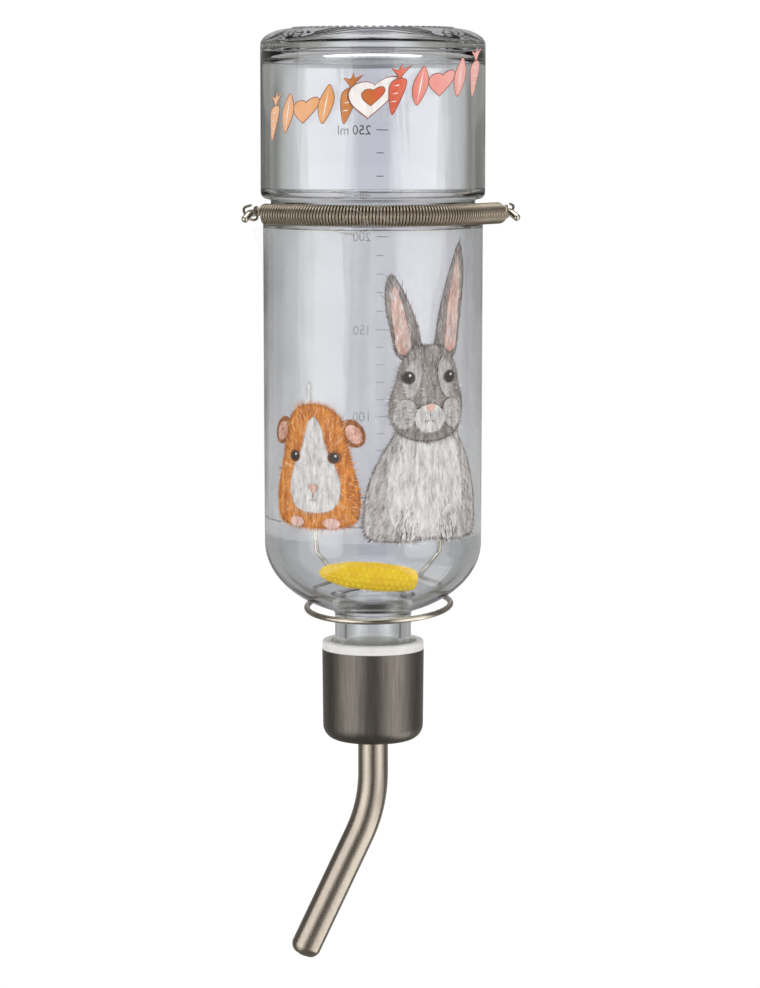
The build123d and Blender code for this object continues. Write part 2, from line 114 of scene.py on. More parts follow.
def rounded(corners, steps=6):
    """The points of a profile whose corners (r, drop, radius) are rounded off."""
    points = []
    for i, (r, drop, radius) in enumerate(corners):
        here = Vector((r, drop))
        if radius == 0 or i in (0, len(corners) - 1):
            points.append(here)
            continue
        back = (Vector(corners[i - 1][:2]) - here).normalized()
        on = (Vector(corners[i + 1][:2]) - here).normalized()
        half = back.angle(on) / 2
        centre = here + (back + on).normalized() * (radius / math.sin(half))
        start = here + back * (radius / math.tan(half)) - centre
        end = here + on * (radius / math.tan(half)) - centre
        turn = start.angle_signed(end)
        for k in range(steps + 1):
            points.append(centre + Matrix.Rotation(-turn * k / steps, 2) @ start)
    return points


def lathe(profile, segments):
    """Places and faces of a closed profile turned about the bottle's axis."""
    count = len(profile)
    places = [
        around(360 * j / segments, p.x, p.y) for j in range(segments) for p in profile
    ]
    faces = []
    for j in range(segments):
        a, b = j * count, (j + 1) % segments * count
        for i in range(count):
            k = (i + 1) % count
            faces.append((a + i, b + i, b + k, a + k))
    return places, faces


def smooth_loop(points, steps):
    """A closed curve through the points."""
    count = len(points)
    line = []
    for i in range(count):
        p = [points[(i + k - 1) % count] for k in range(4)]
        for k in range(steps):
            t = k / steps
            line.append(
                0.5 * (2 * p[1] + (p[2] - p[0]) * t
                       + (2 * p[0] - 5 * p[1] + 4 * p[2] - p[3]) * t**2
                       + (3 * p[1] - p[0] - 3 * p[2] + p[3]) * t**3)
            )
    return line


# ---------------------------------------------------------------- materials

class Nodes:
    """A short way to write a material's node tree."""

    def __init__(self, name):
        self.material = bpy.data.materials.new(name)
        self.material.use_nodes = True
        self.tree = self.material.node_tree
        self.shader = self.tree.nodes["Principled BSDF"]
        self.place = self.add("ShaderNodeTexCoord").outputs["Object"]

    def add(self, kind, **settings):
        node = self.tree.nodes.new(kind)
        for key, value in settings.items():
            setattr(node, key, value)
        return node

    def link(self, source, target):
        self.tree.links.new(source, target)

    def set(self, **values):
        for key, value in values.items():
            self.shader.inputs[key.replace("_", " ")].default_value = value

    def stretched(self, scale):
        mapping = self.add("ShaderNodeMapping")
        mapping.inputs["Scale"].default_value = scale
        self.link(self.place, mapping.inputs["Vector"])
        return mapping.outputs["Vector"]

    def noise(self, scale, detail=3.0, vector=None, roughness=0.5):
        node = self.add("ShaderNodeTexNoise")
        node.inputs["Scale"].default_value = scale
        node.inputs["Detail"].default_value = detail
        node.inputs["Roughness"].default_value = roughness
        self.link(vector or self.place, node.inputs["Vector"])
        return node.outputs["Fac"]

    def ramp(self, source, stops):
        node = self.add("ShaderNodeValToRGB")
        elements = node.color_ramp.elements
        while len(elements) < len(stops):
            elements.new(0.5)
        for element, (position, colour) in zip(elements, stops):
            element.position = position
            element.color = (*colour, 1)
        self.link(source, node.inputs["Fac"])
        return node.outputs["Color"]

    def range(self, source, low, high):
        """low where the source is 0, high where it is 1."""
        node = self.add("ShaderNodeMapRange")
        node.inputs["To Min"].default_value = low
        node.inputs["To Max"].default_value = high
        self.link(source, node.inputs["Value"])
        return node.outputs["Result"]

    def axis(self, name):
        node = self.add("ShaderNodeSeparateXYZ")
        self.link(self.place, node.inputs[0])
        return node.outputs[name]

    def between(self, source, start, end):
        """0 at start, 1 at end."""
        node = self.add("ShaderNodeMapRange")
        node.inputs["From Min"].default_value = start
        node.inputs["From Max"].default_value = end
        self.link(source, node.inputs["Value"])
        return node.outputs["Result"]

    def mix(self, share, first, second):
        node = self.add("ShaderNodeMix", data_type="RGBA")
        self.link(share, node.inputs[0])
        self.link(first, node.inputs[6])
        self.link(second, node.inputs[7])
        return node.outputs[2]

    def bump(self, source, strength, distance):
        node = self.add("ShaderNodeBump")
        node.inputs["Strength"].default_value = strength
        node.inputs["Distance"].default_value = distance
        self.link(source, node.inputs["Height"])
        self.link(node.outputs["Normal"], self.shader.inputs["Normal"])

    def colour(self, source):
        self.link(source, self.shader.inputs["Base Color"])

    def rough(self, source, low, high):
        self.link(self.range(source, low, high), self.shader.inputs["Roughness"])


def glass_material():
    m = Nodes("clear_bottle_glass")
    m.set(Transmission_Weight=1.0, IOR=1.5)
    m.colour(m.ramp(m.noise(18, 2), [(0.3, (0.93, 0.95, 0.95)), (0.7, (0.97, 0.97, 0.985))]))
    m.rough(m.noise(300, 4), 0.0, 0.008)
    m.bump(m.noise(45, 2, m.stretched((1, 1, 0.35))), 0.12, 0.002)
    return m.material


def film_material():
    m = Nodes("clear_label_film")
    m.set(IOR=1.45, Alpha=0.1)
    m.colour(m.ramp(m.noise(120, 3), [(0.35, (0.8, 0.8, 0.82)), (0.65, (0.95, 0.95, 0.97))]))
    m.rough(m.noise(600, 4), 0.08, 0.22)
    m.bump(m.noise(60, 3, m.stretched((1, 1, 0.2))), 0.15, 0.001)
    return m.material


def ink(name, dark, light, scale=900, grain=(1, 1, 0.25), rough=(0.45, 0.7)):
    """Printed colour that varies in fine strokes."""
    m = Nodes(name)
    vector = m.stretched(grain)
    m.colour(m.ramp(m.noise(scale, 6, vector, 0.7), [(0.36, dark), (0.62, light)]))
    m.rough(m.noise(scale, 2, vector), *rough)
    m.bump(m.noise(scale * 1.5, 2, vector), 0.1, 0.0002)
    return m.material


def gradient_ink():
    """Ink that changes from orange on the left to pink on the right."""
    m = Nodes("rising_row_ink")
    across = m.between(m.axis("X"), (AXIS_X - UPPER_R) * MM, (AXIS_X + UPPER_R) * MM)
    total = m.add("ShaderNodeMath", operation="ADD")
    m.link(across, total.inputs[0])
    m.link(m.range(m.noise(220, 3), -0.12, 0.13), total.inputs[1])
    m.colour(m.ramp(total.outputs["Value"], [
        (0.05, (0.86, 0.5, 0.3)), (0.3, (0.72, 0.32, 0.1)), (0.42, (0.5, 0.16, 0.02)),
        (0.6, (0.66, 0.1, 0.04)), (0.78, (0.8, 0.3, 0.25)), (0.95, (0.85, 0.45, 0.4)),
    ]))
    m.rough(m.noise(700, 3), 0.3, 0.55)
    m.bump(m.noise(900, 2), 0.1, 0.0002)
    return m.material


def metal(name, dark, light, rough, grain, scale, grain_bump, grain_depth):
    """Bare metal whose tone, sheen and surface vary along its grain."""
    m = Nodes(name)
    m.set(Metallic=1.0)
    vector = m.stretched(grain)
    m.colour(m.ramp(m.noise(scale, 5, vector, 0.6), [(0.3, dark), (0.7, light)]))
    m.rough(m.noise(scale * 1.7, 4, vector), *rough)
    m.bump(m.noise(scale * 2, 4, vector), grain_bump, grain_depth)
    return m.material


def plastic(name, dark, light, rough, scale=250, bump=0.15, painted_glow=0.0):
    """Plastic or rubber. A glow is painted light: an even emission in the light colour, standing for the
    light that thin plastic lets through.
    """
    m = Nodes(name)
    m.set(Emission_Color=(*light, 1), Emission_Strength=painted_glow)
    m.colour(m.ramp(m.noise(scale, 4), [(0.35, dark), (0.65, light)]))
    m.rough(m.noise(scale * 2, 3), *rough)
    m.bump(m.noise(scale * 3, 3), bump, 0.0003)
    return m.material


DRAWN_GRAIN, EVEN_GRAIN = (1, 1, 0.05), (1, 1, 1)

GLASS = glass_material()
FILM = film_material()
CAP_STEEL = metal(
    "satin_cap_steel", (0.125, 0.11, 0.095), (0.185, 0.165, 0.145), (0.34, 0.44), DRAWN_GRAIN,
    scale=1500, grain_bump=0.05, grain_depth=0.0001)
TUBE_STEEL = metal(
    "drawn_tube_steel", (0.34, 0.3, 0.25), (0.41, 0.36, 0.3), (0.22, 0.3), DRAWN_GRAIN,
    scale=1800, grain_bump=0.04, grain_depth=0.0001)
SPRING_STEEL = metal(
    "spring_wire_steel", (0.29, 0.245, 0.18), (0.36, 0.305, 0.24), (0.24, 0.32), EVEN_GRAIN,
    scale=150, grain_bump=0.01, grain_depth=0.0001)
WIRE_STEEL = metal(
    "plated_wire_steel", (0.42, 0.38, 0.31), (0.6, 0.55, 0.46), (0.15, 0.28), EVEN_GRAIN,
    scale=400, grain_bump=0.03, grain_depth=0.0001)
BALL_STEEL = metal(
    "ball_steel", (0.55, 0.55, 0.54), (0.68, 0.68, 0.67), (0.05, 0.14), EVEN_GRAIN,
    scale=300, grain_bump=0.03, grain_depth=0.0003)
INSERT_PLASTIC = plastic(
    "white_insert_plastic", (0.72, 0.71, 0.69), (0.83, 0.82, 0.8), (0.4, 0.55))
SEAL_RUBBER = plastic(
    "seal_rubber", (0.16, 0.15, 0.14), (0.26, 0.245, 0.23), (0.65, 0.85), scale=500)
# the corn float glows with painted light, an emission that brightens it inside the glass
CORN_YELLOW = plastic(
    "corn_yellow_plastic", (0.92, 0.56, 0.001), (1.0, 0.7, 0.003), (0.3, 0.42),
    scale=300, bump=0.06, painted_glow=0.17)
SCALE_INK = ink("scale_ink", (0.015, 0.015, 0.02), (0.05, 0.05, 0.06))
RABBIT_GREY = ink("rabbit_grey_ink", (0.125, 0.105, 0.095), (0.36, 0.32, 0.295))
RABBIT_DARK = ink("rabbit_dark_ink", (0.04, 0.03, 0.027), (0.17, 0.14, 0.125))
FUR_SHADE = ink("fur_shade_ink", (0.26, 0.24, 0.225), (0.55, 0.52, 0.5))
PALE_FUR = ink("pale_fur_ink", (0.45, 0.435, 0.42), (0.77, 0.76, 0.74))
PINK_SKIN = ink("pink_skin_ink", (0.5, 0.26, 0.2), (0.78, 0.52, 0.44))
EYE_INK = ink("eye_ink", (0.012, 0.008, 0.007), (0.04, 0.026, 0.02), rough=(0.4, 0.5))
CAVY_ORANGE = ink("cavy_orange_ink", (0.4, 0.1, 0.012), (0.76, 0.3, 0.05))
CAVY_PALE = ink("cavy_pale_ink", (0.68, 0.36, 0.14), (0.86, 0.62, 0.38))
CAVY_BROWN = ink("cavy_brown_ink", (0.13, 0.045, 0.015), (0.38, 0.14, 0.04))
ROW_INK = gradient_ink()
ROW_EDGE = ink("row_edge_ink", (0.16, 0.05, 0.03), (0.34, 0.13, 0.08))
ROW_PALE = ink("row_pale_ink", (0.75, 0.68, 0.64), (0.88, 0.83, 0.8))


for node, material in (
    ("glass_bottle", GLASS), ("label_film", FILM), ("level_float", CORN_YELLOW),
    ("cap_shell", CAP_STEEL), ("cap_insert", INSERT_PLASTIC), ("sealing_washer", SEAL_RUBBER),
    ("tube_seal", SEAL_RUBBER), ("drinking_tube", TUBE_STEEL), ("lower_ball", BALL_STEEL),
    ("upper_ball", BALL_STEEL), ("front_spring", SPRING_STEEL), ("groove_yoke", WIRE_STEEL),
    ("hanging_bracket", WIRE_STEEL),
):
    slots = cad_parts[node].data.materials
    slots.clear()
    slots.append(material)


# ---------------------------------------------------------------- glass

def ellipse_part(side_r, depth, neck_r, start, count):
    """Profile corners down a shoulder, from its side to where it reaches the neck."""
    sweep = math.acos(neck_r / side_r)
    return [
        (side_r * math.cos(sweep * k / count), start + depth * math.sin(sweep * k / count), 0)
        for k in range(1, count)
    ] + [(neck_r, start + depth * math.sin(sweep), 0)]


def quarter_turn(steps):
    """Angles that share out a quarter turn, without its start."""
    return [math.pi / 2 * k / steps for k in range(1, steps + 1)]


def glass_profile():
    """The bottle's section, from the middle of its base outside to the middle inside."""
    base = [(r, drop, 0) for r, drop in PUSH_UP]
    base += [(BEARING_R, RIB_HEIGHT, BEARING_EDGE_R), (RIB_IN_R, RIB_HEIGHT, 0), (RIB_OUT_R, RIB_HEIGHT, 0)]
    heel = [
        (UPPER_R - HEEL_WIDTH * (1 - math.sin(a)), RIB_HEIGHT + HEEL_DEPTH * (1 - math.cos(a)), 0)
        for a in quarter_turn(16)
    ]
    groove = [
        (UPPER_R, GROOVE_TOP, UPPER_LIP_R), (GROOVE_R, GROOVE_TOP, GROOVE_CORNER_R),
        (GROOVE_R, GROOVE_BOTTOM, GROOVE_CORNER_R), (LOWER_R, GROOVE_BOTTOM, LOWER_LIP_R),
    ]
    outer = [(LOWER_R_END, SHOULDER_DROP, 0)]
    outer += ellipse_part(LOWER_R_END, SHOULDER_DEPTH, NECK_R, SHOULDER_DROP, 28)
    inner = [(LOWER_IN_R, SHOULDER_DROP, 0)]
    inner += ellipse_part(LOWER_IN_R, INNER_SHOULDER_DEPTH, BORE_R, SHOULDER_DROP, 26)
    outer_end, inner_end = outer.pop()[1], inner.pop()[1]
    neck = [
        (NECK_R, outer_end, NECK_FILLET_R), (NECK_R, MOUTH_DROP, MOUTH_EDGE_R),
        (BORE_R, MOUTH_DROP, MOUTH_EDGE_R), (BORE_R, inner_end, NECK_FILLET_R),
    ]
    heel_start = INNER_HEEL_DROP + INNER_HEEL_DEPTH
    inner_heel = [
        (UPPER_IN_R - INNER_HEEL_WIDTH * (1 - math.cos(a)), heel_start - INNER_HEEL_DEPTH * math.sin(a), 0)
        for a in (0, *quarter_turn(12))
    ]
    dome = [(r, drop, 0) for r, drop in INNER_DOME]
    return rounded(
        base + heel + groove + outer + neck + inner[::-1] + list(INNER_GROOVE) + inner_heel + dome
    )


def thread_on_neck(first):
    """Places and faces of the neck's thread, which fades in and out. The first place has that number."""
    steps_per_turn, fade_steps = 36, 6
    steps = int(THREAD_TURNS * steps_per_turn)
    root = THREAD_OUTLINE[0][0]
    places = []
    for k in range(steps + 1):
        turn = k / steps_per_turn
        fade = min(1, k / fade_steps, (steps - k) / fade_steps)
        for r, up in THREAD_OUTLINE:
            drop = THREAD_START - THREAD_PITCH * turn - up
            places.append(around(360 * turn + 90, root + (r - root) * fade, drop))
    faces = []
    for k in range(steps):
        a, b = first + 4 * k, first + 4 * (k + 1)
        for c in range(4):
            n = (c + 1) % 4
            faces.append((a + c, a + n, b + n, b + c))
    last = first + 4 * steps
    faces += [(first + 3, first + 2, first + 1, first), (last, last + 1, last + 2, last + 3)]
    return places, faces


def make_glass():
    profile = glass_profile()
    count = len(profile)
    segments = RIBS * STEPS_PER_RIB
    places, faces = lathe(profile, segments)
    on_rib = [i for i, p in enumerate(profile) if RIB_IN_R <= p.x <= RIB_OUT_R and p.y < 2 * RIB_HEIGHT]
    for j in range(segments):
        if j % STEPS_PER_RIB < STEPS_ON_RIB:
            for i in on_rib:
                places[j * count + i].z = BASE_Z * MM
    # the middle of the base is closed by two small discs, not by faces from outside to inside
    faces = [f for f in faces if f[0] % count != count - 1]
    outer_rim, inner_rim = ([j * count + end for j in range(segments)] for end in (0, count - 1))
    faces += [tuple(outer_rim), tuple(inner_rim[::-1])]
    thread_places, thread_faces = thread_on_neck(len(places))
    return piece("clear_glass_bottle", places + thread_places, faces + thread_faces,
                 "bottle", [GLASS])


glass = make_glass()
glass.visible_shadow = False
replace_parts(glass, "glass_bottle")


# ---------------------------------------------------------------- label film

def film_radius(drop):
    share = (drop - FILM_TOP) / (FILM_BOTTOM - FILM_TOP)
    return LOWER_R + (LOWER_R_END - LOWER_R) * share + FILM_GAP


def make_film():
    """The film's two faces, with the corner at its seam peeling off the glass."""
    seam, span = -86.0, 354.0
    peel_angle, peel_height, peel_lift, peel_curl = 9, 12, 2.6, 1.3
    columns, rows = 180, 40
    places = []
    for face in (0, 1):
        for i in range(columns + 1):
            angle = seam + span * (i / columns - 1)
            for j in range(rows + 1):
                drop = FILM_TOP + (FILM_BOTTOM - FILM_TOP) * j / rows
                near_seam = max(0.0, 1 - (seam - angle) / peel_angle)
                near_top = max(0.0, 1 - (drop - FILM_TOP) / peel_height)
                lift = peel_lift * (near_seam * near_top) ** peel_curl
                places.append(around(angle - lift, film_radius(drop) + lift + face * FILM_THICKNESS, drop))
    side = (columns + 1) * (rows + 1)
    faces = []
    for i in range(columns):
        for j in range(rows):
            a = i * (rows + 1) + j
            b = a + rows + 1
            faces.append((a, b, b + 1, a + 1))
            faces.append((side + a, side + a + 1, side + b + 1, side + b))
    top = [i * (rows + 1) for i in range(columns + 1)]
    seam_side = [top[-1] + j for j in range(1, rows + 1)]
    bottom = [start + rows for start in reversed(top[:-1])]
    far_side = list(range(rows - 1, 0, -1))
    edge = top + seam_side + bottom + far_side
    for a, b in zip(edge, edge[1:] + edge[:1]):
        faces.append((a, side + a, side + b, b))
    return piece("printed_film", places, faces, "bottle", [FILM])


film = make_film()
film.visible_shadow = False
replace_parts(film, "label_film")


# ---------------------------------------------------------------- corn float

# share of the cob's length, radius
COB_SHAPE = (
    (0.0, 0.9), (0.03, 1.7), (0.12, 2.5), (0.3, 3.75), (0.55, 4.2), (0.78, 3.95), (0.93, 3.4),
    (0.985, 2.8), (1.0, 2.0),
)


def cob_radius(t):
    for (t0, r0), (t1, r1) in zip(COB_SHAPE, COB_SHAPE[1:]):
        if t <= t1:
            share = (t - t0) / (t1 - t0)
            eased = share * share * (3 - 2 * share)
            return r0 + (r1 - r0) * (eased * 0.4 + share * 0.6)
    return COB_SHAPE[-1][1]


def make_corn():
    """A cob with rows of kernels, a pointed tip to the left and a cut end to the right."""
    length, kernel_rows, kernels = 26.0, 12, 17
    per_row, per_kernel = 8, 8
    valley, kernel_height, kernel_fullness = 0.25, 0.45, 0.45
    left_tip, right_tip = -13.08, 13.05
    around_count = kernel_rows * per_row
    along_count = kernels * per_kernel
    local = []
    for i in range(along_count + 1):
        t = i / along_count
        for j in range(around_count):
            row = j // per_row
            across = abs(math.sin(math.pi * j / per_row))
            along = abs(math.sin(math.pi * (t * kernels + 0.5 * (row % 2))))
            kernel = (across * along) ** kernel_fullness
            fade = min(1, t * 12, (1 - t) * 14)
            radius = cob_radius(t) - valley + kernel_height * kernel * fade
            turn = 2 * math.pi * j / around_count
            local.append(Vector(((t - 0.5) * length, radius * math.sin(turn), radius * math.cos(turn))))
    faces = []
    for i in range(along_count):
        for j in range(around_count):
            n = (j + 1) % around_count
            a, b = i * around_count, (i + 1) * around_count
            faces.append((a + j, a + n, b + n, b + j))
    for start, tip_x, flip in ((0, left_tip, False), (along_count * around_count, right_tip, True)):
        local.append(Vector((tip_x, 0, 0)))
        for j in range(around_count):
            pair = (start + j, start + (j + 1) % around_count)
            faces.append((*(pair if flip else pair[::-1]), len(local) - 1))
    tilt = Matrix.Rotation(math.radians(5.8), 3, "Y")
    middle = at(-1.2, -0.5, 144.0)
    places = [middle + (tilt @ p) * MM for p in local]
    return piece("corn_cob_float", places, faces, "float", [CORN_YELLOW])


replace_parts(make_corn(), "level_float")


# ---------------------------------------------------------------- prints

def inside(point, outline):
    """Whether a flat point lies within a closed outline."""
    x, y = point
    hit = False
    for a, b in zip(outline, outline[1:] + outline[:1]):
        if (a.y > y) != (b.y > y) and x < a.x + (y - a.y) / (b.y - a.y) * (b.x - a.x):
            hit = not hit
    return hit


def filled(outline, step):
    """Flat places and triangles that fill a closed outline, fine enough to bend."""
    xs = [p.x for p in outline]
    ys = [p.y for p in outline]
    inner = []
    for i in range(int((max(xs) - min(xs)) / step) + 1):
        for j in range(int((max(ys) - min(ys)) / (step * 2)) + 1):
            p = Vector((min(xs) + (i + 0.5) * step, min(ys) + (j + 0.5) * step * 2))
            if inside(p, outline):
                inner.append(p)
    count = len(outline)
    result = geometry.delaunay_2d_cdt(outline + inner, [], [list(range(count))], 1, 1e-4)
    return [Vector(p) for p in result[0]], [tuple(f) for f in result[2]]


def stroke(start, direction, length, width):
    """A tapered pen stroke as one flat triangle pair."""
    side = Vector((-direction.y, direction.x)) * width / 2
    middle = start + direction * length * 0.4
    return [start, middle - side, start + direction * length, middle + side]


class Print:
    """Flat ink shapes, in millimetres to the right and up, that wrap round the bottle."""

    def __init__(self, name, angle, drop, radius):
        self.name, self.angle, self.drop, self.radius = name, angle, drop, radius
        self.places, self.faces, self.inks, self.face_inks = [], [], [], []
        self.layer = 0

    def put(self, points, faces, material):
        first = len(self.places)
        radius = self.radius + INK_GAP + INK_THICKNESS * 1.2 * self.layer
        for p in points:
            angle = self.angle + math.degrees(p[0] / self.radius)
            self.places.append(around(angle, radius, self.drop - p[1]))
        if material not in self.inks:
            self.inks.append(material)
        self.faces += [tuple(first + i for i in face) for face in faces]
        self.face_inks += [self.inks.index(material)] * len(faces)

    def shape(self, points, material, steps=6, step=1.0):
        """A filled outline, smoothed in so many steps between its points."""
        self.layer += 1
        outline = [Vector(p) for p in points]
        if steps:
            outline = smooth_loop(outline, steps)
        self.put(*filled(outline, step), material)
        return outline

    def line(self, x, y, way, length, width, material):
        self.shape(stroke(Vector((x, y)), Vector(way).normalized(), length, width), material, steps=0)

    def oval(self, x, y, half_w, half_h, material, turn=0.0):
        count = 18
        points = []
        for k in range(count):
            a = 2 * math.pi * k / count
            p = Matrix.Rotation(math.radians(turn), 2) @ Vector((half_w * math.cos(a), half_h * math.sin(a)))
            points.append((x + p.x, y + p.y))
        return self.shape(points, material, steps=0, step=0.8)

    def fur(self, outline, materials, count, flow, length, width, seed):
        """Many fine strokes inside an outline, along the way the fur lies."""
        rng = random.Random(seed)
        self.layer += 1
        xs = [p.x for p in outline]
        ys = [p.y for p in outline]
        made = 0
        while made < count:
            p = Vector((rng.uniform(min(xs), max(xs)), rng.uniform(min(ys), max(ys))))
            if not inside(p, outline):
                continue
            way = flow(p).normalized()
            way = Matrix.Rotation(rng.gauss(0, 0.25), 2) @ way
            points = stroke(p, way, length * rng.uniform(0.6, 1.3), width * rng.uniform(0.6, 1.3))
            self.put(points, [(0, 1, 2, 3)], rng.choice(materials))
            made += 1

    def fringe(self, outline, material, every, flow, length, width, seed):
        """Strokes that stand out past an outline, so its edge looks furry."""
        rng = random.Random(seed)
        self.layer += 1
        centre = sum(outline, Vector((0, 0))) / len(outline)
        for a, b in zip(outline, outline[1:] + outline[:1]):
            pieces = max(1, round((b - a).length / every))
            for k in range(pieces):
                p = a.lerp(b, (k + rng.random()) / pieces)
                way = (flow(p).normalized() + (p - centre).normalized() * 0.9).normalized()
                start = p - way * length * 0.55
                points = stroke(start, way, length * rng.uniform(0.7, 1.2), width)
                self.put(points, [(0, 1, 2, 3)], material)

    def finish(self):
        obj = piece(self.name, self.places, self.faces, "bottle", self.inks, self.face_inks,
                    smooth=False)
        solid = obj.modifiers.new("thickness", "SOLIDIFY")
        solid.thickness = INK_THICKNESS * MM
        solid.offset = 0
        return obj


def both_sides(points):
    """A closed outline from its right half, top to bottom."""
    return points + [(-x, y) for x, y in reversed(points) if abs(x) > 0.01]


def away_from(y):
    """Fur that lies outwards from a place on the middle line."""
    return lambda p: Vector((p.x, p.y - y))


def downwards(spread):
    return lambda p: Vector((p.x * spread, -1))


def one_way(x, y):
    return lambda p: Vector((x, y))


def make_rabbit():
    """A plain grey rabbit that sits up, with a pale chest and upright ears."""
    art = Print("rabbit_print", 29.5, 131.0, film_radius(95) + FILM_THICKNESS)
    down, outward = downwards(0.06), away_from(38)
    right_ear = [
        (1.8, 46), (8.2, 47.5), (10.2, 56), (11.6, 66), (11.4, 72.5), (10.0, 76), (7.2, 71), (4.0, 62),
        (2.2, 54),
    ]
    ear_root = 47
    for side, reach in ((-1, 0.74), (1, 1.0)):
        ear = [(side * x, ear_root + (y - ear_root) * reach) for x, y in right_ear]
        centre_x = sum(x for x, y in ear) / len(ear)
        centre_y = sum(y for x, y in ear) / len(ear)
        along = one_way(side * 0.25, 1)
        edge = art.shape(ear, RABBIT_GREY)
        art.fur(edge, [RABBIT_DARK, RABBIT_GREY, FUR_SHADE], 260, along, 2.2, 0.17, 3 + side)
        art.fringe(edge, RABBIT_DARK, 0.45, along, 1.1, 0.17, 5 + side)
        inner = [
            (centre_x + (x - centre_x) * 0.5 + side * 0.5, centre_y + (y - centre_y) * 0.78 - 0.6)
            for x, y in ear
        ]
        edge = art.shape(inner, PINK_SKIN)
        art.fur(edge, [PALE_FUR, PALE_FUR, PINK_SKIN, FUR_SHADE], 220, along, 2.2, 0.15, 13 + side)
    body = [(0, 34), (6.5, 32), (10.5, 26), (14.5, 19), (17, 10.5), (16.8, 2), (10, 0.2), (0, 0.6)]
    edge = art.shape(both_sides(body), FUR_SHADE)
    art.fur(edge, [RABBIT_DARK, PALE_FUR, PALE_FUR, RABBIT_GREY, FUR_SHADE], 1250, down, 2.0, 0.15, 21)
    art.fringe(edge, RABBIT_DARK, 0.4, down, 1.3, 0.17, 22)
    chest = [(0, 32), (5.4, 30), (9.4, 22), (11.0, 13), (9.0, 4), (0, 1.4)]
    edge = art.shape(both_sides(chest), PALE_FUR)
    art.fringe(edge, PALE_FUR, 0.4, down, 2.4, 0.2, 24)
    art.fur(edge, [PALE_FUR, PALE_FUR, FUR_SHADE], 420, down, 2.2, 0.16, 23)
    for side in (-1, 1):
        edge = art.oval(side * 6.0, 5.0, 2.8, 4.6, PALE_FUR, -8 * side)
        art.fur(edge, [RABBIT_GREY, PALE_FUR, FUR_SHADE, RABBIT_DARK], 130, down, 1.7, 0.15, 25 + side)
        for toe in (-1, 0, 1):
            art.line(side * 6.2 + toe * 1.2, 3.4, (0, -1), 2.4, 0.3, RABBIT_DARK)
    head = [(0, 50.6), (4.6, 49.6), (7.8, 45.8), (9.2, 41), (10.8, 35.5), (9.8, 30), (6, 26.8), (0, 25.8)]
    edge = art.shape(both_sides(head), RABBIT_GREY)
    art.fur(edge, [RABBIT_DARK, RABBIT_GREY, FUR_SHADE, FUR_SHADE, PALE_FUR], 900, outward, 1.3, 0.13, 31)
    art.fringe(edge, RABBIT_DARK, 0.4, outward, 1.0, 0.16, 32)
    for side in (-1, 1):
        edge = art.oval(side * 4.6, 42.0, 2.1, 5.0, FUR_SHADE, 12 * side)
        art.fringe(edge, FUR_SHADE, 0.4, outward, 1.2, 0.14, 63 + side)
        art.fur(edge, [PALE_FUR, FUR_SHADE, FUR_SHADE], 120, outward, 1.2, 0.14, 33 + side)
        art.oval(side * 5.8, 42.3, 1.9, 1.7, RABBIT_DARK, 20 * side)
        art.oval(side * 5.8, 42.3, 1.4, 1.4, EYE_INK)
        art.oval(side * 5.8 + 0.4, 42.85, 0.34, 0.34, PALE_FUR)
        edge = art.oval(side * 6.6, 33.0, 3.0, 3.8, FUR_SHADE, 14 * side)
        art.fur(edge, [PALE_FUR, FUR_SHADE, RABBIT_GREY], 110, outward, 1.3, 0.15, 36 + side)
    edge = art.oval(0, 31.8, 4.2, 3.6, PALE_FUR)
    art.fringe(edge, PALE_FUR, 0.4, outward, 1.4, 0.16, 39)
    art.fur(edge, [FUR_SHADE, PALE_FUR, PALE_FUR], 150, outward, 1.1, 0.14, 35)
    art.shape([(0, 33.4), (1.35, 34.9), (0, 35.5), (-1.35, 34.9)], PINK_SKIN, steps=4, step=0.5)
    art.line(0, 33.5, (0, -1), 2.0, 0.26, RABBIT_DARK)
    for side in (-1, 1):
        art.line(0, 31.5, (side, -0.5), 1.8, 0.22, RABBIT_DARK)
        for k in range(4):
            art.line(side * 2.6, 32.4 - 0.4 * k, (side, 0.25 - 0.17 * k), 8.0, 0.1, PALE_FUR)
    return art.finish()


